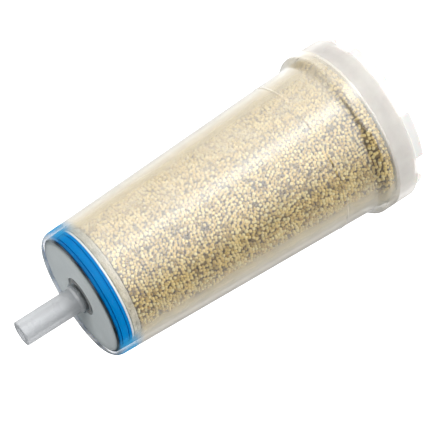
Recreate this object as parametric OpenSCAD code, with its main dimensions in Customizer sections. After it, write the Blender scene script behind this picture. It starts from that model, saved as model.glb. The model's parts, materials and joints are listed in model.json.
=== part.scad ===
// Suction-line water filter: a clear tapered cartridge full of resin beads.
// Millimetres. +Z is the cartridge's axis, pointing out of the hose spigot.
// The origin is the centre of the plane that the six feet of the inlet cap stand on.
// Water enters between the feet, rises through the beads and leaves by the spigot.

/* [Cartridge] */
// Height from the feet to the flat closed end of the shell
shell_top = 109.9; // [100:0.1:120]
// Radius that the tapered wall has where the rounded end begins
top_r = 21.0; // [20.5:0.1:22]
// Growth of the radius for each millimetre down the tapered wall
taper = 0.05; // [0.03:0.005:0.055]
// Radius of the rounded edge at the closed end
end_round = 3.4; // [3:0.1:4]
// Thickness of the tapered wall
wall = 1.5; // [1.2:0.1:1.6]
// Thickness of the closed end
end_wall = 1.3; // [1.1:0.1:1.5]

/* [Socket] */
// Outer radius of the flared socket at the wide end
socket_r = 27.7; // [27.4:0.1:28.5]
// Radius of the bore that the inlet cap plugs into
socket_bore_r = 26.3; // [26.1:0.05:26.4]
// Height of the shell's open rim above the feet
rim_z = 3.8; // [3.4:0.1:3.9]
// Height where the straight socket ends and the shoulder begins
socket_top = 14.3; // [14:0.1:15]
// Height where the shoulder meets the tapered wall
shoulder_top = 17.7; // [17:0.1:18.5]
// Height of the moulded fill ring around the tapered wall
ridge_z = 28.7; // [25:0.1:32]

/* [Inlet cap] */
// Number of feet around the cap
foot_count = 6; // [4:1:8]
// Angle that each foot covers, in degrees
foot_arc = 34; // [24:1:38]
// Radial gap between the cap and the socket bore
cap_gap = 0.2; // [0.15:0.05:0.3]
// Thickness of the cap's skirt
skirt = 2.2; // [2:0.1:2.6]
// Thickness of the slotted floor
floor_t = 1.4; // [1:0.1:1.8]
// Width of the slots that let water through the floor
slot_w = 1.6; // [1:0.1:2]

/* [Outlet] */
// Outer radius of the hose spigot
spigot_r = 4.0; // [3.5:0.1:4.2]
// Radius of the spigot's bore
spigot_bore_r = 2.6; // [2:0.1:2.8]
// Length of the spigot beyond the closed end
spigot_reach = 19.6; // [16:0.1:24]
// Height of the blue seal ring
seal_h = 4.5; // [4:0.1:5]
// Thickness of the felt pad under the outlet disc
outlet_felt_t = 2.5; // [2:0.1:3]

/* [Hidden] */
$fn = 96;

fit_gap = 0.05;            // gap between stacked pieces of one assembly
side_gap = 0.15;           // gap between a disc and the wall around it
eps = 0.5;                 // how far a cutting tool runs past a face

// Heights of the closed end
end_in = shell_top - end_wall;
round_z = shell_top - end_round;

// Socket, ledge and ridge
ledge_z = 10.7;            // where the cap's top edge stops
ledge_w = 0.5;
ledge_r = socket_bore_r - ledge_w;
rim_chamfer = 0.3;
in_round = 0.8;            // rounded inner corner of the closed end
ridge_h = 0.15;
ridge_w = 0.9;

// Inlet cap stack, from the floor up
cap_r = socket_bore_r - cap_gap;
cap_top = ledge_z - fit_gap;
skirt_r = cap_r - skirt;
floor_z = 3.9;
floor_top = floor_z + floor_t;
foot_t = 1.9;              // radial thickness of a foot
foot_chamfer = 0.4;
plate_t = 1.4;
plate_z = cap_top - plate_t;
plate_seat_w = 0.7;
plate_seat_r = skirt_r + plate_seat_w;
plate_holes = [[5, 6], [10, 12], [15, 18], [20, 24]];   // circle radius and count
plate_hole_r = 1.1;
mesh_t = 0.3;
slot_rows = [[5.5, 6.5, 12], [13.5, 8.5, 24]];   // start radius, length and count
hub_hole_r = 1.6;

// Seal ring in the cap's groove
ring_r = 0.75;
ring_mid_r = socket_bore_r - fit_gap - ring_r;
ring_z = 7.4;
groove_play = 0.2;
groove_h = 2 * ring_r + groove_play;

// Outlet disc and the blue ring around it, from the closed end down
face_t = 1.3;              // thickness of the disc's flat face
face_rim_t = 0.5;          // thin rim of the face in front of the blue ring
face_rim_in = 0.2;         // how far the rim stays inside the blue ring's radius
face_edge = [0.4, 0.35];   // bevel of the rim, along the radius and the height
disc_top = end_in - fit_gap;
seal_top = disc_top - face_rim_t;
seal_z = seal_top - seal_h;
seal_in_r = 17.4;
seal_r = inner_r(seal_top) - 2 * fit_gap;
seal_groove = [0.35, 0.4]; // depth and width of the grooves between the ribs
seal_rib = 0.85;           // height of the top and bottom ribs
foot_rim = [1.9, 0.6];     // width and thickness of the lower rim that keeps the blue ring on
disc_z = seal_z - fit_gap - foot_rim[1];
disc_in_r = seal_in_r - 1.2;
rib_count = 8;
rib_w = 1.0;
rib_in_r = 5;
way_r = 6;                 // open way under the hub, where the ribs end
bite = 0.3;                // how far a rib runs into the face and the wall

// Hub of the disc, and the spigot's flange in its well
hub_r = 8.5;
hub_h = 2.75;
hub_z = disc_top - hub_h;
well_r = 6.4;
well_h = 1.75;
spigot_flange_r = 6.2;
spigot_flange_t = 1.0;
washer_t = 0.6;
washer_r = 5.5;

// Spigot root and tip
shank_r = spigot_r + 0.4;
shank_gap = 0.1;
shank_top = shell_top + 0.4;
cone_top = shell_top + 1.1;
tip_round = 0.5;
spigot_tip = shell_top + spigot_reach;
sink_h = 0.5;              // depth and width of the countersink around the root

// Mesh, its clip ring and the felt below the disc
clip_t = 0.8;
clip_w = 1.55;
clip_split = 1.2;
clip_r = disc_in_r - fit_gap;
felt_top = disc_z - fit_gap;
bed_top = felt_top - outlet_felt_t - fit_gap;

// Radius of the outside of the tapered wall at height z
function outer_r(z) = top_r + taper * (round_z - z);
// Radius of the inside of the tapered wall at height z
function inner_r(z) = outer_r(z) - wall;
// Points of an arc from angle a to angle b about the point c
function arc(c, r, a, b, n = 10) =
    [for (i = [0:n]) c + r * [cos(a + (b - a) * i / n), sin(a + (b - a) * i / n)]];
// Points of an S-curve between two heights, from radius ra at za to radius rb at zb
function ease(ra, za, rb, zb, n = 10) =
    [for (i = [0:n]) [ra + (rb - ra) * (1 - cos(180 * i / n)) / 2, za + (zb - za) * i / n]];

// A plain ring or disc: outer radius, inner radius, lowest height, thickness
module ring(ro, ri, z, t) {
    translate([0, 0, z]) difference() {
        cylinder(r = ro, h = t);
        if (ri > 0) translate([0, 0, -eps]) cylinder(r = ri, h = t + 2 * eps);
    }
}

// Circles of round holes through a plate: radii and counts come in rows
module hole_rows(rows, hole_r, z, t) {
    for (row = rows, i = [0:row[1] - 1])
        rotate([0, 0, 360 * i / row[1]])
            translate([row[0], 0, z - eps]) cylinder(r = hole_r, h = t + 2 * eps);
}

// Clear moulded cup: closed rounded end on top, flared socket at the bottom
module body_shell() {
    lean = atan(taper);
    hole_r = shank_r + shank_gap;
    outside = concat(
        [[socket_r - rim_chamfer, rim_z], [socket_r, rim_z + rim_chamfer]],
        ease(socket_r, socket_top, outer_r(shoulder_top), shoulder_top),
        [[outer_r(ridge_z - ridge_w / 2), ridge_z - ridge_w / 2],
         [outer_r(ridge_z) + ridge_h, ridge_z],
         [outer_r(ridge_z + ridge_w / 2), ridge_z + ridge_w / 2]],
        arc([top_r - end_round, round_z], end_round, lean, 90)
    );
    inside = concat(
        [[0, end_in]],
        arc([inner_r(end_in) - in_round, end_in - in_round], in_round, 90, lean),
        ease(inner_r(shoulder_top), shoulder_top, ledge_r, socket_top - wall),
        [[ledge_r, ledge_z], [socket_bore_r, ledge_z], [socket_bore_r, rim_z]]
    );
    color([0.86, 0.86, 0.82, 0.35]) difference() {
        rotate_extrude() polygon(concat(outside, [[0, shell_top]], inside));
        translate([0, 0, end_in - eps]) cylinder(r = hole_r, h = end_wall + 2 * eps);
        translate([0, 0, shell_top - sink_h])
            cylinder(r1 = hole_r, r2 = hole_r + 2 * sink_h, h = 2 * sink_h);
    }
}

// Wedge that clears the way for water between two neighbouring feet
module foot_gap() {
    half = (360 / foot_count - foot_arc) / 2;
    reach = 2 * cap_r;
    translate([0, 0, -eps]) linear_extrude(rim_z + eps)
        polygon([[0, 0], reach * [cos(half), -sin(half)], reach * [cos(half), sin(half)]]);
}

// Frosted plug with six feet, a slotted floor and a groove for its seal ring
module inlet_cap() {
    groove_r = ring_mid_r - ring_r - fit_gap;
    foot_in_r = cap_r - foot_t;
    color([0.93, 0.93, 0.92]) difference() {
        rotate_extrude() polygon([
            [0, floor_z], [foot_in_r, floor_z],
            [foot_in_r, foot_chamfer], [foot_in_r + foot_chamfer, 0],
            [cap_r - foot_chamfer, 0], [cap_r, foot_chamfer],
            [cap_r, ring_z - groove_h / 2], [groove_r, ring_z - groove_h / 2],
            [groove_r, ring_z + groove_h / 2], [cap_r, ring_z + groove_h / 2],
            [cap_r, cap_top], [plate_seat_r, cap_top],
            [plate_seat_r, plate_z - fit_gap], [skirt_r, plate_z - fit_gap],
            [skirt_r, floor_top], [0, floor_top]
        ]);
        for (i = [0:foot_count - 1])
            rotate([0, 0, 360 * i / foot_count - 90]) foot_gap();
        translate([0, 0, floor_z - eps]) cylinder(r = hub_hole_r, h = floor_t + 2 * eps);
        for (row = slot_rows, i = [0:row[2] - 1])
            rotate([0, 0, 360 * (i + 0.5) / row[2]])
                translate([row[0], -slot_w / 2, floor_z - eps])
                    cube([row[1], slot_w, floor_t + 2 * eps]);
    }
}

// Round silicone ring between the cap and the socket
module cap_seal_ring() {
    color([0.9, 0.9, 0.89]) translate([0, 0, ring_z]) rotate_extrude()
        translate([ring_mid_r, 0]) circle(r = ring_r);
}

// Fine woven mesh on the cap's floor
module inlet_mesh() {
    color([0.72, 0.73, 0.74]) ring(skirt_r - side_gap, 0, floor_top + fit_gap, mesh_t);
}

// Felt pad between the mesh and the support plate
module inlet_felt() {
    z = floor_top + 2 * fit_gap + mesh_t;
    color([0.93, 0.91, 0.86]) ring(skirt_r - side_gap, 0, z, plate_z - 2 * fit_gap - z);
}

// Perforated plate that closes the cap and carries the beads
module bed_support_plate() {
    color([0.9, 0.9, 0.89]) difference() {
        ring(plate_seat_r - side_gap, 0, plate_z, plate_t);
        hole_rows(plate_holes, plate_hole_r, plate_z, plate_t);
    }
}

// The packed beads, as the one body that they fill between the two ends
module bead_bed() {
    low = ledge_z + 2 * fit_gap;
    color([0.85, 0.79, 0.65]) rotate_extrude() polygon(concat(
        [[0, low], [ledge_r - side_gap, low]],
        ease(ledge_r - side_gap, socket_top - wall,
             inner_r(shoulder_top) - side_gap, shoulder_top - side_gap),
        [[inner_r(bed_top) - side_gap, bed_top], [0, bed_top]]
    ));
}

// Felt pad between the beads and the outlet disc
module outlet_felt() {
    color([0.93, 0.91, 0.86])
        ring(inner_r(felt_top) - side_gap, 0, felt_top - outlet_felt_t, outlet_felt_t);
}

// Fine woven mesh across the mouth of the outlet disc
module outlet_mesh() {
    color([0.72, 0.73, 0.74]) ring(clip_r, 0, disc_z + clip_t + fit_gap, mesh_t);
}

// Split ring that holds the mesh in the outlet disc
module mesh_clip_ring() {
    color([0.6, 0.62, 0.64]) difference() {
        ring(clip_r, clip_r - clip_w, disc_z, clip_t);
        translate([0, -clip_split / 2, disc_z - eps])
            cube([2 * clip_r, clip_split, clip_t + 2 * eps]);
    }
}

// Grey strainer disc: flat face outwards, ribs and an open mouth towards the beads
module outlet_disc() {
    face_z = disc_top - face_t;
    rim_r = seal_r - face_rim_in;
    core_r = seal_in_r - fit_gap;
    foot_r = seal_in_r + foot_rim[0];
    rib_z = disc_z + clip_t + mesh_t + 2 * fit_gap;
    color([0.66, 0.69, 0.73]) difference() {
        union() {
            rotate_extrude() polygon([
                [0, hub_z], [hub_r, hub_z], [hub_r, face_z],
                [disc_in_r, face_z], [disc_in_r, disc_z],
                [foot_r, disc_z], [foot_r, disc_z + foot_rim[1]],
                [core_r, disc_z + foot_rim[1]], [core_r, seal_top],
                [rim_r, seal_top], [rim_r, disc_top - face_edge[1]],
                [rim_r - face_edge[0], disc_top], [0, disc_top]
            ]);
            for (i = [0:rib_count - 1])
                rotate([0, 0, 360 * (i + 0.5) / rib_count])
                    translate([rib_in_r, -rib_w / 2, rib_z])
                        cube([disc_in_r + bite - rib_in_r, rib_w, face_z + bite - rib_z]);
        }
        translate([0, 0, disc_top - well_h]) cylinder(r = well_r, h = well_h + eps);
        translate([0, 0, hub_z - eps]) cylinder(r = spigot_bore_r, h = hub_h + eps);
        translate([0, 0, rib_z - eps]) cylinder(r = way_r, h = hub_z - rib_z + eps);
    }
}

// Blue silicone ring with three ribs, stretched over the outlet disc
module blue_seal_ring() {
    grooves = [seal_rib, seal_h - seal_rib - seal_groove[1]];
    color([0.0, 0.5, 0.86]) difference() {
        ring(seal_r, seal_in_r, seal_z, seal_h);
        for (z = grooves)
            ring(seal_r + eps, seal_r - seal_groove[0], seal_z + z, seal_groove[1]);
    }
}

// Flat rubber washer between the spigot's flange and the closed end
module spigot_washer() {
    color([0.2, 0.2, 0.21])
        ring(washer_r, shank_r + fit_gap, disc_top - washer_t + fit_gap / 2, washer_t);
}

// Hose spigot: straight tube, tapered root and the flange that stays inside
module hose_spigot() {
    flange_z = disc_top - washer_t - spigot_flange_t;
    color([0.84, 0.85, 0.86]) rotate_extrude() polygon(concat(
        [[spigot_bore_r, flange_z], [spigot_flange_r, flange_z],
         [spigot_flange_r, flange_z + spigot_flange_t], [shank_r, flange_z + spigot_flange_t],
         [shank_r, shank_top], [spigot_r, cone_top]],
        arc([spigot_r - tip_round, spigot_tip - tip_round], tip_round, 0, 90),
        [[spigot_bore_r, spigot_tip]]
    ));
}

body_shell();
inlet_cap();
cap_seal_ring();
inlet_mesh();
inlet_felt();
bed_support_plate();
bead_bed();
outlet_felt();
outlet_mesh();
mesh_clip_ring();
outlet_disc();
blue_seal_ring();
spigot_washer();
hose_spigot();
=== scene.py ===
"""Looks of the suction-line water filter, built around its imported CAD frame. Metres, +Z up."""

import json
import math

import bpy
import numpy as np
from mathutils import Matrix, Vector, noise
from mathutils.kdtree import KDTree


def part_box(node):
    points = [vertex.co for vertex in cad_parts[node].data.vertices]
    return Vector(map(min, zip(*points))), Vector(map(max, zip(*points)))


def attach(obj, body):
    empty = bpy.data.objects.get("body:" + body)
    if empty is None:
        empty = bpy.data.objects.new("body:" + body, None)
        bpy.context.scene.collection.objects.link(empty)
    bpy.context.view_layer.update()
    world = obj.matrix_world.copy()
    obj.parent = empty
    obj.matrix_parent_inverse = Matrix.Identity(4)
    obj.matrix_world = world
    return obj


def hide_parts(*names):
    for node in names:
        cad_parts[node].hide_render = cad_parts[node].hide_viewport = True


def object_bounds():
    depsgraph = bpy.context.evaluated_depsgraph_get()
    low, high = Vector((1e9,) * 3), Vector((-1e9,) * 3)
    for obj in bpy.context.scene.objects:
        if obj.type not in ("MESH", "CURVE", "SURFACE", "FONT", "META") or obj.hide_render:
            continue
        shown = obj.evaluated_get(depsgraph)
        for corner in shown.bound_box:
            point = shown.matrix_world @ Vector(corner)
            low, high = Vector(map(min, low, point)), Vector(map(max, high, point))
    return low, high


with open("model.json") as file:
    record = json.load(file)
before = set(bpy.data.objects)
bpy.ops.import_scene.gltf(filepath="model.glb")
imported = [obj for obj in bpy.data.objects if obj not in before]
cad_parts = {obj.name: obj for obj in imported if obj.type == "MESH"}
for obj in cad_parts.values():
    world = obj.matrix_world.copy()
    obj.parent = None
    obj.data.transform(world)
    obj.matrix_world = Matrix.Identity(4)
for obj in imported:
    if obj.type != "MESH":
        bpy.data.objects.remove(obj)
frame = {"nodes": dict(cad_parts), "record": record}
cad_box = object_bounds()

MM = 0.001
RECORD = frame["record"]
BODY_OF = {node: body for body, nodes in RECORD["behaviour"]["bodies"].items() for node in nodes}

# ---------------------------------------------------------------- camera

CAMERA_TILT = math.radians(17.12)       # height of the camera over the cartridge's equator
CAMERA_ROLL = math.radians(32.37)       # how far the axis rises to the right in the frame
CAMERA_TO_END = (-40.64, -24.41, -586.0)   # closed end in the camera's own axes, mm
FOCAL_IN_FRAMES = 2000 / 431            # focal length over the frame's width
SENSOR = 36


def make_camera():
    """A long lens that looks a little down on the standing cartridge, rolled so that it lies aslant."""
    side = Vector((1, 0, 0))
    up = Vector((0, math.sin(CAMERA_TILT), math.cos(CAMERA_TILT)))
    back = Vector((0, -math.cos(CAMERA_TILT), math.sin(CAMERA_TILT)))
    right = -math.sin(CAMERA_ROLL) * side - math.cos(CAMERA_ROLL) * up
    top = math.cos(CAMERA_ROLL) * side - math.sin(CAMERA_ROLL) * up
    x, y, z = (MM * v for v in CAMERA_TO_END)
    closed_end = Vector((0, 0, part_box("body_shell")[1].z))
    place = closed_end - (right * x + top * y + back * z)
    data = bpy.data.cameras.new("photo_camera")
    data.sensor_width = SENSOR
    data.lens = SENSOR * FOCAL_IN_FRAMES
    camera = bpy.data.objects.new("photo_camera", data)
    camera.matrix_world = Matrix.Translation(place) @ Matrix((right, top, back)).transposed().to_4x4()
    bpy.context.scene.collection.objects.link(camera)
    bpy.context.scene.camera = camera


make_camera()

# ---------------------------------------------------------------- material helpers


class Nodes:
    """A material's node tree, with short calls to add and join nodes."""

    def __init__(self, name):
        self.material = bpy.data.materials.new(name)
        self.material.use_nodes = True
        self.tree = self.material.node_tree
        self.tree.nodes.clear()
        self.out = self.tree.nodes.new("ShaderNodeOutputMaterial")

    def add(self, kind, **inputs):
        node = self.tree.nodes.new(kind)
        for key, value in inputs.items():
            node.inputs[key.replace("_", " ")].default_value = value
        return node

    def join(self, source, target):
        self.tree.links.new(source, target)

    def feed(self, value, target):
        """Joins a socket to target, or sets target to a plain number or colour."""
        if isinstance(value, (int, float)):
            target.default_value = value
        elif isinstance(value, tuple):
            target.default_value = (*value, 1)
        else:
            self.join(value, target)

    def surface(self, shader):
        self.join(shader.outputs[0], self.out.inputs["Surface"])
        return self.material

    def ramp(self, source, *stops):
        """A ramp over source with (position, value) stops, where a value is a colour or a grey number."""
        node = self.tree.nodes.new("ShaderNodeValToRGB")
        while len(node.color_ramp.elements) < len(stops):
            node.color_ramp.elements.new(0.5)
        for element, (position, value) in zip(node.color_ramp.elements, stops):
            colour = (value, value, value) if isinstance(value, (int, float)) else value
            element.position = position
            element.color = (*colour, 1)
        self.join(source, node.inputs["Fac"])
        return node.outputs["Color"]

    def place(self):
        """The object's own coordinates, which are the frame's."""
        return self.tree.nodes.new("ShaderNodeTexCoord").outputs["Object"]

    def along(self, axis):
        """How far along one of the frame's axes a point lies."""
        split = self.tree.nodes.new("ShaderNodeSeparateXYZ")
        self.join(self.place(), split.inputs[0])
        return split.outputs[axis]

    def noise(self, scale, detail=3, stretch=(1, 1, 1)):
        """Noise over the object's own coordinates, stretched by dividing its scale along an axis."""
        mapping = self.add("ShaderNodeMapping", Scale=stretch)
        self.join(self.place(), mapping.inputs["Vector"])
        node = self.add("ShaderNodeTexNoise", Scale=scale, Detail=detail)
        self.join(mapping.outputs["Vector"], node.inputs["Vector"])
        return node.outputs["Fac"]

    def tilt(self):
        """How far up the surface faces, from -1 to 1."""
        split = self.tree.nodes.new("ShaderNodeSeparateXYZ")
        normal = self.tree.nodes.new("ShaderNodeTexCoord").outputs["Normal"]
        self.join(normal, split.inputs[0])
        return split.outputs["Z"]

    def outward(self):
        """How far the side that is seen faces away from the Z axis, from -1 to 1."""
        flat = self.tree.nodes.new("ShaderNodeVectorMath")
        flat.operation = "MULTIPLY"
        self.join(self.place(), flat.inputs[0])
        flat.inputs[1].default_value = (1, 1, 0)
        radial = self.tree.nodes.new("ShaderNodeVectorMath")
        radial.operation = "NORMALIZE"
        self.join(flat.outputs[0], radial.inputs[0])
        product = self.tree.nodes.new("ShaderNodeVectorMath")
        product.operation = "DOT_PRODUCT"
        self.join(radial.outputs[0], product.inputs[0])
        self.join(self.tree.nodes.new("ShaderNodeTexCoord").outputs["Normal"], product.inputs[1])
        return product.outputs["Value"]

    def math(self, what, a, b):
        node = self.tree.nodes.new("ShaderNodeMath")
        node.operation = what
        self.feed(a, node.inputs[0])
        self.feed(b, node.inputs[1])
        return node.outputs[0]

    def span(self, value, low, high, at_low, at_high):
        """value carried from the span low to high onto at_low to at_high, and held beyond its ends."""
        node = self.tree.nodes.new("ShaderNodeMapRange")
        self.join(value, node.inputs["Value"])
        node.inputs["From Min"].default_value = low
        node.inputs["From Max"].default_value = high
        node.inputs["To Min"].default_value = at_low
        node.inputs["To Max"].default_value = at_high
        return node.outputs["Result"]

    def blend(self, share, one, other):
        """A mix of two colours or values: all one where share is 0, all other where it is 1."""
        node = self.tree.nodes.new("ShaderNodeMixRGB")
        self.feed(share, node.inputs["Fac"])
        self.feed(one, node.inputs["Color1"])
        self.feed(other, node.inputs["Color2"])
        return node.outputs["Color"]

    def mix(self, share, one, other):
        """A mix of two shaders: all one where share is 0, all other where it is 1."""
        node = self.tree.nodes.new("ShaderNodeMixShader")
        self.feed(share, node.inputs["Fac"])
        self.join(one.outputs[0], node.inputs[1])
        self.join(other.outputs[0], node.inputs[2])
        return node

    def bump(self, source, strength, depth):
        node = self.add("ShaderNodeBump", Strength=strength, Distance=depth)
        self.join(source, node.inputs["Height"])
        return node.outputs["Normal"]


def darker(colour, share):
    return tuple(c * share for c in colour)


def moulded(name, colour, roughness, grain=0.0, **inputs):
    """A moulded surface: clouded colour, patchy gloss and a fine skin. Returns its nodes and its shader."""
    n = Nodes(name)
    body = n.add("ShaderNodeBsdfPrincipled", **inputs)
    n.join(n.ramp(n.noise(110, 4), (0.3, darker(colour, 0.93)), (0.7, colour)), body.inputs["Base Color"])
    n.join(n.span(n.noise(260, 5), 0.3, 0.7, roughness * 0.85, roughness * 1.15), body.inputs["Roughness"])
    skin = n.noise(2600, 2)
    n.join(n.bump(skin, 0.15 + grain, 0.02 * MM), body.inputs["Normal"])
    return n, body


# ---------------------------------------------------------------- materials

CLEAR = (1.0, 0.995, 0.985, 1)


FROST_EDGE = 0.3 * MM               # height over which the frosted band fades into the clear wall
FROST_HAZE = 0.45
# The far rim's thick haze carries the painted shade tint.
FAR_RIM_SHADE_HAZE = 0.9
# Painted light: the haze is made thicker towards +X, the side the light falls on, so that side reads paler.
LIT_SIDE_HAZE_SPAN = (-4 * MM, 9 * MM)       # stretch along X over which the haze thickens, as painted light on the lit +X side
LIT_SIDE_HAZE_GROWTH = 3.6
LIT_SIDE_HAZE_LIMIT = 0.235
LIT_SIDE_VEIL_SPAN = (8 * MM, 20 * MM)      # stretch along X over which a thicker veil paints the light on the +X side
LIT_SIDE_VEIL_WANDER = 8 * MM                # how far that painted light veil's edge wanders
LIT_SIDE_VEIL_HAZE = 0.36


def shell_zones(n):
    """Shares of the frosted band at the cap, of the closed end, and of that end's far rim."""
    z = n.along("Z")
    cap_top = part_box("inlet_cap")[1].z
    ring_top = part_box("blue_seal_ring")[1].z
    frosted = n.span(z, cap_top, cap_top + FROST_EDGE, 1.0, 0.0)
    end = n.span(z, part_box("outlet_felt")[0].z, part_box("blue_seal_ring")[0].z, 0.0, 1.0)
    above_ring = n.span(z, ring_top - 0.6 * MM, ring_top, 0.0, 1.0)
    far = n.math("MULTIPLY", above_ring, n.span(n.outward(), -0.3, -0.1, 1.0, 0.0))
    return frosted, end, far


def shell_haze(n, facing, frosted, end, far):
    """How thick the haze is: thin over the beads, thicker edge on and in the frosted band, and thicker
    towards +X as painted light on the lit side.
    """
    over_beads = n.ramp(
        facing,
        (0.0, 0.04), (0.2, 0.06), (0.33, 0.13), (0.45, 0.3),
        (0.6, 0.52), (0.7, 0.74), (0.85, 0.85), (1.0, 0.75),
    )
    # painted light: the haze thickens towards +X, the lit side
    lit_side_gain = n.span(n.along("X"), *LIT_SIDE_HAZE_SPAN, 1.0, LIT_SIDE_HAZE_GROWTH)
    painted_light_haze = n.math("MINIMUM", n.math("MULTIPLY", over_beads, lit_side_gain), LIT_SIDE_HAZE_LIMIT)
    # painted light: a veil with a wandering edge pales the lit +X side
    patches = n.span(n.noise(150, 4), 0.35, 0.65, -LIT_SIDE_VEIL_WANDER, LIT_SIDE_VEIL_WANDER)
    painted_light_veil = n.span(n.math("ADD", n.along("X"), patches), *LIT_SIDE_VEIL_SPAN, 0.0, LIT_SIDE_VEIL_HAZE)
    painted_light_haze = n.math("MAXIMUM", painted_light_haze, painted_light_veil)
    side = n.ramp(facing, (0.0, 0.0), (0.5, 0.02), (0.62, 0.5), (0.8, 0.85), (1.0, 0.95))
    top = n.ramp(facing, (0.0, 0.0), (0.75, 0.02), (0.8, 0.06), (0.88, 0.7), (1.0, 0.95))
    over_end = n.blend(n.span(n.tilt(), 0.7, 0.9, 0.0, 1.0), side, top)
    haze = n.blend(end, n.math("MAXIMUM", over_beads, painted_light_haze), over_end)
    haze = n.math("MAXIMUM", haze, n.math("MULTIPLY", frosted, FROST_HAZE))
    # painted shade: a thick haze in the dark slate tint over the far rim
    haze = n.math("MAXIMUM", haze, n.math("MULTIPLY", far, FAR_RIM_SHADE_HAZE))
    return n.math("MULTIPLY", haze, n.span(n.noise(190, 4), 0.3, 0.7, 0.85, 1.1))


def shell_tint(n, facing, frosted, end, far):
    """The haze's colour: beige over the beads, blue over the ring, and a painted shade of slate at the
    closed end and its far rim. The slate and the beige seen edge on are painted light and shade: dark
    towards -X, pale towards +X.
    """
    x = n.along("X")
    # painted light and shade: seen edge on, the haze is dark towards -X and pale towards +X
    edge_on_light_and_shade = n.blend(n.span(x, -12 * MM, 12 * MM, 0.0, 1.0), (0.30, 0.28, 0.23), (0.80, 0.79, 0.75))
    wall = n.blend(n.span(x, 6 * MM, 12 * MM, 0.0, 1.0), (0.60, 0.56, 0.47), (0.66, 0.58, 0.42))
    beige = n.blend(n.span(facing, 0.6, 0.9, 0.0, 1.0), wall, edge_on_light_and_shade)
    ring_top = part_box("blue_seal_ring")[1].z
    above_ring = n.span(n.along("Z"), ring_top - 1 * MM, ring_top + 1 * MM, 0.0, 1.0)
    # painted shade: slate, dark towards -X and pale grey towards +X, at the closed end and its far rim
    end_painted_shade = n.blend(n.span(x, -14 * MM, 6 * MM, 0.0, 1.0), (0.12, 0.17, 0.20), (0.56, 0.60, 0.62))
    blue_to_end_shade = n.blend(above_ring, (0.04, 0.30, 0.56), end_painted_shade)
    tint = n.blend(end, beige, blue_to_end_shade)
    tint = n.blend(far, tint, end_painted_shade)
    return n.blend(frosted, tint, (0.72, 0.69, 0.655))


def shell_gloss(n, facing, frosted, end):
    """How much of the shell is mirror: more edge on, less on its closed end and in the frosted band."""
    mirror = n.ramp(facing, (0.0, 0.07), (0.3, 0.075), (0.5, 0.1), (0.7, 0.2), (0.85, 0.4), (1.0, 0.8))
    front = n.math("SUBTRACT", 1.0, n.tree.nodes.new("ShaderNodeNewGeometry").outputs["Backfacing"])
    share = n.math("MULTIPLY", mirror, front)
    share = n.math("MULTIPLY", share, n.span(end, 0.0, 1.0, 1.0, 0.03))
    return n.math("MULTIPLY", share, n.span(frosted, 0.0, 1.0, 1.0, 0.12))


def clear_plastic():
    """Clear moulded plastic: gloss over a thin haze."""
    n = Nodes("clear_shell")
    facing = n.add("ShaderNodeLayerWeight", Blend=0.5).outputs["Facing"]
    frosted, end, far = shell_zones(n)
    cloud = n.add("ShaderNodeBsdfDiffuse")
    n.join(shell_tint(n, facing, frosted, end, far), cloud.inputs["Color"])
    gloss = n.add("ShaderNodeBsdfGlossy")
    n.join(n.span(n.noise(420, 4), 0.3, 0.7, 0.18, 0.24), gloss.inputs["Roughness"])
    n.join(n.bump(n.noise(140, 2), 0.12, 0.05 * MM), gloss.inputs["Normal"])
    clear = n.add("ShaderNodeBsdfTransparent", Color=CLEAR)
    veil = n.mix(shell_haze(n, facing, frosted, end, far), clear, cloud)
    return n.surface(n.mix(shell_gloss(n, facing, frosted, end), veil, gloss))


def frosted_plastic(name, colour):
    """Frosted polypropylene, which lets a little light through."""
    n, body = moulded(name, colour, 0.5, 0.2, Subsurface_Weight=0.3, Subsurface_Scale=1.2 * MM)
    return n.surface(body)


def spigot_plastic():
    """Pale plastic tube that shows its bore faintly."""
    n, body = moulded("pale_spigot", (0.49, 0.50, 0.51), 0.28)
    flow = n.noise(60, 3, (6, 6, 0.5))
    n.join(n.bump(flow, 0.2, 0.05 * MM), body.inputs["Normal"])
    facing = n.add("ShaderNodeLayerWeight", Blend=0.5).outputs["Facing"]
    show = n.ramp(facing, (0.0, 0.38), (0.5, 0.2), (1.0, 0.0))
    return n.surface(n.mix(show, body, n.add("ShaderNodeBsdfTransparent", Color=(0.97, 0.98, 1.0, 1))))


def disc_plastic():
    """Satin grey plastic with the faint rings that its mould was turned with."""
    n, body = moulded("grey_disc", (0.73, 0.76, 0.77), 0.35, Specular_IOR_Level=0.3)
    rings = n.add("ShaderNodeTexWave", Scale=420, Distortion=0.4, Detail=1)
    rings.wave_type = "RINGS"
    rings.rings_direction = "Z"
    n.join(n.place(), rings.inputs["Vector"])
    n.join(n.bump(rings.outputs["Fac"], 0.12, 0.02 * MM), body.inputs["Normal"])
    return n.surface(body)


def silicone(name, colour, roughness, sheen):
    """Smooth rubber: clouded, with faint lines drawn around it by its mould."""
    n, body = moulded(name, colour, roughness, Specular_IOR_Level=sheen, Subsurface_Weight=0.08,
                      Subsurface_Scale=0.6 * MM)
    lines = n.noise(300, 2, (0.3, 0.3, 6))
    n.join(n.bump(lines, 0.25, 0.04 * MM), body.inputs["Normal"])
    return n.surface(body)


def felt():
    """Needled felt: short fibres in all directions, dull, with a soft sheen."""
    n = Nodes("white_felt")
    body = n.add("ShaderNodeBsdfPrincipled", Roughness=0.95, Sheen_Weight=0.4, Specular_IOR_Level=0.1)
    along = n.noise(900, 3, (1, 0.15, 1))
    across = n.noise(900, 3, (0.15, 1, 1))
    fibres = n.math("MAXIMUM", along, across)
    tone = n.ramp(fibres, (0.4, (0.50, 0.44, 0.33)), (0.62, (0.70, 0.64, 0.51)), (0.8, (0.76, 0.71, 0.59)))
    n.join(tone, body.inputs["Base Color"])
    n.join(n.bump(fibres, 0.7, 0.08 * MM), body.inputs["Normal"])
    return n.surface(body)


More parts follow.
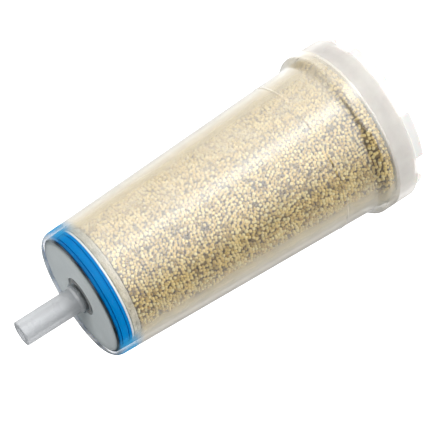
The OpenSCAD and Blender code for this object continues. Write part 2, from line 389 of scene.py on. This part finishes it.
def steel():
    """Bright stainless steel with fine drawing marks."""
    n = Nodes("steel_mesh")
    body = n.add("ShaderNodeBsdfPrincipled", Metallic=1.0)
    tone = n.ramp(n.noise(300, 4), (0.3, (0.48, 0.48, 0.47)), (0.7, (0.66, 0.66, 0.65)))
    n.join(tone, body.inputs["Base Color"])
    n.join(n.span(n.noise(1500, 3), 0.3, 0.7, 0.22, 0.42), body.inputs["Roughness"])
    return n.surface(body)


def bead_resin():
    """Ion exchange resin: every bead has its own tone, and the bed is clouded in patches."""
    n = Nodes("resin_beads")
    island = n.tree.nodes.new("ShaderNodeNewGeometry").outputs["Random Per Island"]
    tone = n.ramp(
        island,
        (0.0, (0.42, 0.27, 0.06)), (0.2, (0.76, 0.56, 0.17)),
        (0.6, (0.95, 0.75, 0.29)), (1.0, (1.0, 0.88, 0.46)),
    )
    patch = n.ramp(n.noise(230, 3), (0.3, 0.8), (0.6, 1.0))
    product = n.add("ShaderNodeMixRGB", Fac=1.0)
    product.blend_type = "MULTIPLY"
    n.join(tone, product.inputs["Color1"])
    n.join(patch, product.inputs["Color2"])
    body = n.add("ShaderNodeBsdfPrincipled", Roughness=0.5, Specular_IOR_Level=0.15)
    n.join(product.outputs[0], body.inputs["Base Color"])
    n.join(n.bump(n.noise(6000, 2), 0.15, 0.02 * MM), body.inputs["Normal"])
    return n.surface(body)


def bead_painted_shade():
    """The beads deeper in the bed, coloured dark brown as painted shade for the shade that those against the
    wall cast on them.
    """
    n = Nodes("bead_core_painted_shade")
    # painted shade: near-black to dark brown stands for deeper beads in shade
    tone = n.ramp(n.noise(900, 2), (0.35, (0.08, 0.05, 0.012)), (0.65, (0.30, 0.20, 0.05)))
    body = n.add("ShaderNodeBsdfPrincipled", Roughness=0.8, Specular_IOR_Level=0.1)
    n.join(tone, body.inputs["Base Color"])
    return n.surface(body)


STEEL = steel()
FELT = felt()
MATERIALS = {
    "body_shell": clear_plastic(),
    "inlet_cap": frosted_plastic("frosted_cap", (0.70, 0.69, 0.67)),
    "cap_seal_ring": silicone("white_silicone", (0.67, 0.66, 0.645), 0.4, 0.3),
    "inlet_mesh": STEEL,
    "inlet_felt": FELT,
    "bed_support_plate": frosted_plastic("support_plate", (0.70, 0.70, 0.68)),
    "bead_bed": bead_resin(),
    "outlet_felt": FELT,
    "outlet_mesh": STEEL,
    "mesh_clip_ring": STEEL,
    "outlet_disc": disc_plastic(),
    "blue_seal_ring": silicone("blue_silicone", (0.0, 0.215, 0.58), 0.3, 0.0),
    "spigot_washer": silicone("black_rubber", (0.27, 0.275, 0.28), 0.55, 0.3),
    "hose_spigot": spigot_plastic(),
}
BEAD_PAINTED_SHADE = bead_painted_shade()
for name, node in frame["nodes"].items():
    node.data.materials.clear()
    node.data.materials.append(MATERIALS[name])

# ---------------------------------------------------------------- mesh helpers


def new_mesh(name, points, faces):
    """A smooth mesh object from an array of points in metres and an array of faces."""
    faces = np.asarray(faces, np.int32)
    mesh = bpy.data.meshes.new(name)
    mesh.vertices.add(len(points))
    mesh.vertices.foreach_set("co", np.asarray(points, np.float32).ravel())
    mesh.loops.add(faces.size)
    mesh.loops.foreach_set("vertex_index", faces.ravel())
    mesh.polygons.add(len(faces))
    mesh.polygons.foreach_set("loop_start", np.arange(0, faces.size, faces.shape[1], dtype=np.int32))
    mesh.polygons.foreach_set("use_smooth", np.ones(len(faces), bool))
    mesh.update(calc_edges=True)
    piece = bpy.data.objects.new(name, mesh)
    bpy.context.scene.collection.objects.link(piece)
    return piece


def add_piece(name, node, points, faces):
    """A new piece that has the finish of a CAD node and moves with it."""
    piece = new_mesh(name, points, faces)
    piece.data.materials.append(MATERIALS[node])
    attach(piece, BODY_OF[node])
    return piece


def join_parts(parts):
    """One pair of point and face arrays from many."""
    points, faces, start = [], [], 0
    for part_points, part_faces in parts:
        points.append(part_points)
        faces.append(part_faces + start)
        start += len(part_points)
    return np.concatenate(points), np.concatenate(faces)


def lathe(outline, turns):
    """Points and triangles of a solid turned about Z, from (radius, height) points between two poles."""
    outline = np.asarray(outline)
    angle = np.arange(turns) / turns * 2 * math.pi
    body = outline[1:-1]
    around = np.stack([np.cos(angle), np.sin(angle)], -1)
    points = np.concatenate([
        (body[:, None, :1] * around[None]),
        np.broadcast_to(body[:, None, 1:], (len(body), turns, 1)),
    ], -1).reshape(-1, 3)
    poles = np.array([[0, 0, outline[0, 1]], [0, 0, outline[-1, 1]]])
    here = np.arange(turns)
    after = (here + 1) % turns
    faces = []
    for row in range(len(body) - 1):
        a, b = row * turns, (row + 1) * turns
        faces.append(np.stack([a + here, a + after, b + after], -1))
        faces.append(np.stack([a + here, b + after, b + here], -1))
    first, last = len(points), len(points) + 1
    end = (len(body) - 1) * turns
    faces.append(np.stack([np.full(turns, first), after, here], -1))
    faces.append(np.stack([np.full(turns, last), end + here, end + after], -1))
    return np.concatenate([points, poles]), np.concatenate(faces)


def roughen(piece, depth, grain):
    """Moves a piece's surface in by up to depth, in soft lumps of about the grain's size."""
    places = [v.co.copy() for v in piece.data.vertices]
    normals = [v.normal.copy() for v in piece.data.vertices]
    for v, place, normal in zip(piece.data.vertices, places, normals):
        v.co = place - normal * depth * (0.5 + 0.5 * noise.noise(place / grain))
    piece.data.update()


def tube(path, across, upward, radius, sides):
    """Points and triangles of a closed tube along path, whose round section lies along two directions."""
    turn = np.arange(sides) / sides * 2 * math.pi
    section = radius * (np.cos(turn)[:, None] * across + np.sin(turn)[:, None] * upward)
    points = (path[:, None] + section).reshape(-1, 3)
    here = np.arange(sides)
    after = (here + 1) % sides
    faces = []
    for k in range(len(path) - 1):
        a, b = k * sides, (k + 1) * sides
        faces.append(np.stack([a + here, a + after, b + after], -1))
        faces.append(np.stack([a + here, b + after, b + here], -1))
    fan = np.arange(1, sides - 1)
    end = (len(path) - 1) * sides
    faces.append(np.stack([np.zeros_like(fan), fan + 1, fan], -1))
    faces.append(np.stack([np.full_like(fan, end), end + fan, end + fan + 1], -1))
    return points, np.concatenate(faces)


X, Y, Z = np.eye(3)

# ---------------------------------------------------------------- beads

BEAD_R = (0.46 * MM, 0.64 * MM)
BEAD_MEAN = sum(BEAD_R) / 2
WALL_GAP = 0.05 * MM
ROW_PITCH = 0.93            # between rows of beads, in mean bead widths
BEAD_PITCH = 1.06           # between beads in a row, in mean bead widths
HOLE_SHARE = 0.013          # share of the beads that leave a small hole
SUNK_SHARE = 0.13           # share of the beads that lie deeper than their neighbours
CORE_SINK = 1.25 * MM       # how far the core lies behind the wall
PER_PIECE = 6000


def bead_form():
    """Points and faces of one bead: an octahedron cut once, pushed out to a sphere."""
    corners = [Vector(c) for c in ((1, 0, 0), (-1, 0, 0), (0, 1, 0), (0, -1, 0), (0, 0, 1), (0, 0, -1))]
    sides = [(0, 2, 4), (2, 1, 4), (1, 3, 4), (3, 0, 4), (2, 0, 5), (1, 2, 5), (3, 1, 5), (0, 3, 5)]
    points, faces, middles = list(corners), [], {}

    def middle(a, b):
        key = (min(a, b), max(a, b))
        if key not in middles:
            middles[key] = len(points)
            points.append((points[a] + points[b]).normalized())
        return middles[key]

    for a, b, c in sides:
        ab, bc, ca = middle(a, b), middle(b, c), middle(c, a)
        faces += [(a, ab, ca), (ab, b, bc), (ca, bc, c), (ab, bc, ca)]
    return np.array(points), np.array(faces)


def bead_mesh(name, centres, radii, seed):
    """One piece of many beads, each turned its own way."""
    form, faces = bead_form()
    chance = np.random.default_rng(seed)
    turn = chance.uniform(0, 2 * math.pi, (len(centres), 2))
    c, s = np.cos(turn), np.sin(turn)
    x, y, z = form.T
    rx = c[:, :1] * x - s[:, :1] * y
    ry = s[:, :1] * x + c[:, :1] * y
    rz = np.broadcast_to(z, rx.shape)
    qy, qz = c[:, 1:] * ry - s[:, 1:] * rz, s[:, 1:] * ry + c[:, 1:] * rz
    points = np.stack([rx, qy, qz], -1) * radii[:, None, None] + centres[:, None, :]
    all_faces = faces[None] + (np.arange(len(centres)) * len(form))[:, None, None]
    return add_piece(name, "bead_bed", points.reshape(-1, 3), all_faces.reshape(-1, 3))


def bed_profile():
    """Heights and radii of the bead bed's outer points in the CAD node, from the bottom up."""
    mesh = frame["nodes"]["bead_bed"].data
    co = np.array([v.co for v in mesh.vertices])
    rz = np.unique(np.round(np.stack([co[:, 2], np.hypot(co[:, 0], co[:, 1])], 1), 5), axis=0)
    rz = rz[rz[:, 1] > 0.5 * rz[:, 1].max()]
    heights = np.unique(rz[:, 0])
    return heights, np.array([rz[rz[:, 0] == h, 1].max() for h in heights])


BED_Z, BED_R = bed_profile()


def bed_radius(z):
    return np.interp(z, BED_Z, BED_R)


def relax(places, radii, rounds=12):
    """Pushes overlapping circles apart in their plane."""
    for _ in range(rounds):
        tree = KDTree(len(places))
        for i, p in enumerate(places):
            tree.insert((p[0], p[1], 0), i)
        tree.balance()
        push = np.zeros_like(places)
        for i, p in enumerate(places):
            for other, j, gap in tree.find_range((p[0], p[1], 0), radii[i] + BEAD_R[1]):
                room = radii[i] + radii[j] - gap
                if j != i and room > 0 and gap > 1e-9:
                    push[i] += (p - np.array(other[:2])) / gap * room * 0.4
        places = places + push
    return places


def open_holes(places, chance, share):
    """Leaves out a few beads, each with its nearest neighbour, where the bed has a small void."""
    tree = KDTree(len(places))
    for i, p in enumerate(places):
        tree.insert((p[0], p[1], 0), i)
    tree.balance()
    gone = set()
    for i in np.flatnonzero(chance.random(len(places)) < share):
        gone.update(j for _, j, _ in tree.find_n((*places[i], 0), 2))
    return np.array([i for i in range(len(places)) if i not in gone])


def pack_wall():
    """Bead centres and radii for the layer that lies against the wall."""
    chance = np.random.default_rng(7)
    low, high = BED_Z[0] + BEAD_R[1], BED_Z[-1] - BEAD_R[1]
    row, step = 2 * BEAD_MEAN * ROW_PITCH, 2 * BEAD_MEAN * BEAD_PITCH
    places = []
    for k, z in enumerate(np.arange(low, high, row)):
        count = int(2 * math.pi * (bed_radius(z) - BEAD_MEAN) / step)
        a = (np.arange(count) + 0.5 * (k % 2)) / count * 2 * math.pi
        places.append(np.stack([a * bed_radius(z), np.full(count, z)], 1))
    places = np.concatenate(places)
    places += chance.normal(0, 0.5 * BEAD_MEAN, places.shape)
    radii = chance.uniform(*BEAD_R, len(places))
    places = relax(places, radii)
    kept = open_holes(places, chance, HOLE_SHARE)
    places, radii = places[kept], radii[kept]
    z = np.clip(places[:, 1], low, high)
    angle = places[:, 0] / bed_radius(z)
    depth = WALL_GAP + np.abs(chance.normal(0, 0.14 * MM, len(z)))
    sunk = chance.random(len(z)) < SUNK_SHARE
    depth[sunk] += chance.uniform(0.4 * MM, 1.1 * MM, sunk.sum())
    reach = bed_radius(z) - radii - depth
    return np.stack([reach * np.cos(angle), reach * np.sin(angle), z], 1), radii


def pack_base():
    """Bead centres and radii for the layer on the bed's flat underside."""
    chance = np.random.default_rng(21)
    edge = BED_R[0] - 2 * BEAD_R[1] - WALL_GAP
    step = 2 * BEAD_MEAN
    side = int(edge / step) + 2
    u, v = np.meshgrid(np.arange(-side, side + 1), np.arange(-side, side + 1))
    places = np.stack([(u + 0.5 * (v % 2)) * step * 1.04, v * step * 0.92], -1).reshape(-1, 2)
    places += chance.normal(0, 0.3 * BEAD_MEAN, places.shape)
    places = places[np.hypot(*places.T) < edge - BEAD_R[1]]
    radii = chance.uniform(*BEAD_R, len(places))
    places = relax(places, radii)
    kept = np.hypot(*places.T) < edge
    places, radii = places[kept], radii[kept]
    z = BED_Z[0] + radii + np.abs(chance.normal(0, 0.12 * MM, len(radii)))
    return np.column_stack([places, z]), radii


def make_core():
    """The beads behind the first layer, as one lumpy solid whose dark colour is painted shade."""
    low, high = BED_Z[0] + CORE_SINK, BED_Z[-1] - 0.2 * MM
    heights = np.linspace(low, high, 110)
    floor = [(r, low) for r in np.linspace(0, 0.96, 26) * bed_radius(low)]
    wall = [(bed_radius(z) - CORE_SINK, z) for z in heights]
    points, faces = lathe(floor + wall + [(0, high)], 190)
    core = new_mesh("bead_core_painted_shade", points, faces)
    roughen(core, 0.4 * MM, 0.6 * MM)
    core.data.materials.append(BEAD_PAINTED_SHADE)
    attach(core, BODY_OF["bead_bed"])
    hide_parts("bead_bed")


def make_beads():
    centres, radii = pack_wall()
    order = np.argsort(centres[:, 2])
    for k, start in enumerate(range(0, len(order), PER_PIECE), 1):
        part = order[start : start + PER_PIECE]
        bead_mesh(f"beads_{k}", centres[part], radii[part], 11 + k)
    bead_mesh("beads_underside", *pack_base(), 31)


make_core()
make_beads()

# ---------------------------------------------------------------- felt

FELT_EDGE = 0.35 * MM       # how round the cut edge of a felt disc is
FIBRE_R = 0.018 * MM


def make_felt(node, seed):
    """A cut disc of needled felt, lumpy all over and with a soft edge."""
    low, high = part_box(node)
    rim, z0, z1 = high.x, low.z, high.z
    flat = np.linspace(0, rim - FELT_EDGE, 60)
    corner = np.linspace(0, math.pi / 2, 6)[1:]
    outline = [(r, z0) for r in flat]
    outline += [(rim - FELT_EDGE * (1 - math.sin(a)), z0 + FELT_EDGE * (1 - math.cos(a))) for a in corner]
    outline += [(rim, z) for z in np.linspace(z0 + FELT_EDGE, z1 - FELT_EDGE, 10)[1:-1]]
    outline += [(rim - FELT_EDGE * (1 - math.cos(a)), z1 - FELT_EDGE * (1 - math.sin(a))) for a in corner]
    outline += [(r, z1) for r in flat[-2::-1]]
    felt_disc = add_piece(f"{node}_disc", node, *lathe(outline, 260))
    roughen(felt_disc, 0.16 * MM, 0.45 * MM)
    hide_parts(node)
    add_piece(f"{node}_fibres", node, *rim_fibres(rim, z0, z1, seed))


def rim_fibres(rim, z0, z1, seed, count=900):
    """Short loose fibres that lie along the cut rim of a felt disc."""
    chance = np.random.default_rng(seed)
    fibres = []
    along = np.linspace(-0.5, 0.5, 7)
    for _ in range(count):
        length = chance.uniform(1.2, 3.0) * MM
        slope = chance.normal(0, 0.5)
        bend = chance.normal(0, 0.25 * MM)
        angle = chance.uniform(0, 2 * math.pi) + along * length * math.cos(slope) / rim
        z = chance.uniform(z0, z1) + along * length * math.sin(slope) + bend * (4 * along**2 - 1)
        z = np.clip(z, z0 + 2 * FIBRE_R, z1 - 2 * FIBRE_R)
        r = rim - 2 * FIBRE_R - chance.uniform(0, 0.08 * MM)
        middle = angle[len(angle) // 2]
        out = np.array([math.cos(middle), math.sin(middle), 0])
        path = np.stack([r * np.cos(angle), r * np.sin(angle), z], -1)
        fibres.append(tube(path, out, Z, FIBRE_R, 3))
    return join_parts(fibres)


make_felt("inlet_felt", 41)
make_felt("outlet_felt", 42)

# ---------------------------------------------------------------- woven wire

WIRE_R = 0.07 * MM


def make_weave(node, pitch):
    """A disc of plain-woven wire cloth with a rim wire that binds its cut ends."""
    low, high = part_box(node)
    mid = (low.z + high.z) / 2
    rim_r = 0.13 * MM
    reach = high.x - 2 * rim_r
    count = int(reach / pitch)
    wires = []
    for i in range(-count, count + 1):
        across = i * pitch
        half = math.sqrt(reach**2 - across**2)
        along = np.linspace(-half, half, max(4, int(6 * half / pitch)))
        wave = WIRE_R * np.cos(math.pi * (along / pitch + i))
        level = np.full_like(along, across)
        wires.append(tube(np.stack([along, level, mid - wave], -1), Y, Z, WIRE_R, 4))
        wires.append(tube(np.stack([level, along, mid + wave], -1), Z, X, WIRE_R, 4))
    cloth = add_piece(f"{node}_cloth", node, *join_parts(wires))
    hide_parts(node)
    turn = np.arange(12) / 12 * 2 * math.pi
    section = np.stack([high.x - rim_r + rim_r * np.cos(turn), mid + rim_r * np.sin(turn)], -1)
    add_piece(f"{node}_rim", node, *hoop(section, 200))


def hoop(section, turns):
    """Points and triangles of a closed section, given as (radius, height) points, turned about Z."""
    angle = np.arange(turns) / turns * 2 * math.pi
    r, z = section.T
    points = np.stack([
        np.cos(angle)[:, None] * r,
        np.sin(angle)[:, None] * r,
        np.broadcast_to(z, (turns, len(z))),
    ], -1).reshape(-1, 3)
    sides = len(section)
    here = np.arange(sides)
    after = (here + 1) % sides
    faces = []
    for k in range(turns):
        a, b = k * sides, (k + 1) % turns * sides
        faces.append(np.stack([a + here, b + here, b + after], -1))
        faces.append(np.stack([a + here, b + after, a + after], -1))
    return points, np.concatenate(faces)


make_weave("inlet_mesh", 1.0 * MM)
make_weave("outlet_mesh", 0.8 * MM)

# ---------------------------------------------------------------- floor and light

FLOOR_SIZE = 6.0
FLOOR_GLOW = 2.1
FLOOR_DROP = 25 * MM        # how far under the feet the floor lies: room for the cap to be pulled off
CARD_GLOW = 10.0            # brightest that the reflection cards could be
CARD_NEAR = 0.03
CARD_FAR = 1.2
CARD_TOP = 2.3


def make_floor():
    """A plain white floor, lit evenly from below like a light table, and clear to a view from under it."""
    n = Nodes("floor")
    glow = n.add("ShaderNodeEmission", Strength=FLOOR_GLOW)
    top = n.add("ShaderNodeBsdfDiffuse", Color=(0.9, 0.9, 0.9, 1))
    from_below = n.tree.nodes.new("ShaderNodeNewGeometry").outputs["Backfacing"]
    upper = n.mix(0.1, glow, top)
    s, z = FLOOR_SIZE, -FLOOR_DROP
    floor = new_mesh("floor", [(-s, -s, z), (s, -s, z), (s, s, z), (-s, s, z)], [(0, 1, 2, 3)])
    floor.data.materials.append(n.surface(n.mix(from_below, upper, n.add("ShaderNodeBsdfTransparent"))))


def turn_share(bearing):
    """Where a bearing lies on a radial gradient. Bearings are degrees from the front, -Y, towards +X."""
    return ((bearing + 90) % 360) / 360


def card_light():
    """The cards' glow: bright right of the front, dark left of it, and brightest in a narrow strip."""
    n = Nodes("reflection_card")
    turn = n.tree.nodes.new("ShaderNodeTexGradient")
    turn.gradient_type = "RADIAL"
    n.join(n.place(), turn.inputs["Vector"])
    bearing = turn.outputs["Fac"]
    front = (-90, 0.02), (-55, 0.05), (-15, 0.56), (10, 0.62), (50, 0.56)
    back = (75, 0.42), (105, 0.24), (150, 0.07), (235, 0.07), (250, 0.02)
    strip = (15, 0.0), (21, 1.0), (32, 1.0), (40, 0.0)
    sides = n.ramp(bearing, *((turn_share(a), v) for a, v in front + back))
    narrow = n.ramp(bearing, *((turn_share(a), v) for a, v in strip))
    length = n.tree.nodes.new("ShaderNodeVectorMath")
    length.operation = "LENGTH"
    n.join(n.place(), length.inputs[0])
    near = n.span(length.outputs["Value"], 0.25, 0.8, 0.45, 0.08)
    glow = n.math("MULTIPLY", n.math("ADD", sides, n.math("MULTIPLY", narrow, near)), CARD_GLOW)
    light = n.tree.nodes.new("ShaderNodeEmission")
    n.join(glow, light.inputs["Strength"])
    return n.surface(light)


def make_card(name, light, near, far, first, last):
    """A strip about Z between two (radius, height) circles and two bearings, which only gloss sees."""
    angle = np.radians(np.linspace(first, last, 65) - 90)
    points = [
        np.stack([r * np.cos(angle), r * np.sin(angle), np.full_like(angle, z)], -1) for r, z in (near, far)
    ]
    here = np.arange(len(angle) - 1)
    faces = np.stack([here, here + len(angle), here + len(angle) + 1, here + 1], -1)
    card = new_mesh(name, np.concatenate(points), faces)
    card.data.materials.append(light)
    card.visible_camera = False
    card.visible_diffuse = False
    card.visible_transmission = False
    card.visible_shadow = False


def make_lamp(name, bearing, rise, reach, size, power):
    """A square soft light that aims at the middle of the cartridge, from a bearing and a rise in degrees."""
    middle = Vector((0, 0, (cad_box[0][2] + cad_box[1][2]) / 2))
    around, over = math.radians(bearing), math.radians(rise)
    aim = Vector((math.sin(around) * math.cos(over), -math.cos(around) * math.cos(over), math.sin(over)))
    data = bpy.data.lights.new(name, "AREA")
    data.size = size
    data.energy = power
    lamp = bpy.data.objects.new(name, data)
    lamp.location = middle + reach * aim
    lamp.rotation_euler = aim.to_track_quat("Z", "Y").to_euler()
    lamp.visible_glossy = False
    bpy.context.scene.collection.objects.link(lamp)


def make_world():
    world = bpy.data.worlds.new("studio")
    bpy.context.scene.world = world
    world.use_nodes = True
    sky = world.node_tree.nodes["Background"]
    sky.inputs["Color"].default_value = (0.92, 0.97, 1.0, 1)
    sky.inputs["Strength"].default_value = 0.38


make_floor()
CARD_LIGHT = card_light()
make_card("low_card", CARD_LIGHT, (CARD_NEAR, 0.5 * MM), (CARD_FAR, 0.5 * MM), 0, 360)
make_card("side_card", CARD_LIGHT, (CARD_FAR, 0), (CARD_FAR, CARD_TOP), -20, 125)
make_lamp("key", bearing=22, rise=50, reach=0.9, size=0.3, power=3.1)
make_world()
bpy.context.scene.view_settings.view_transform = "Standard"
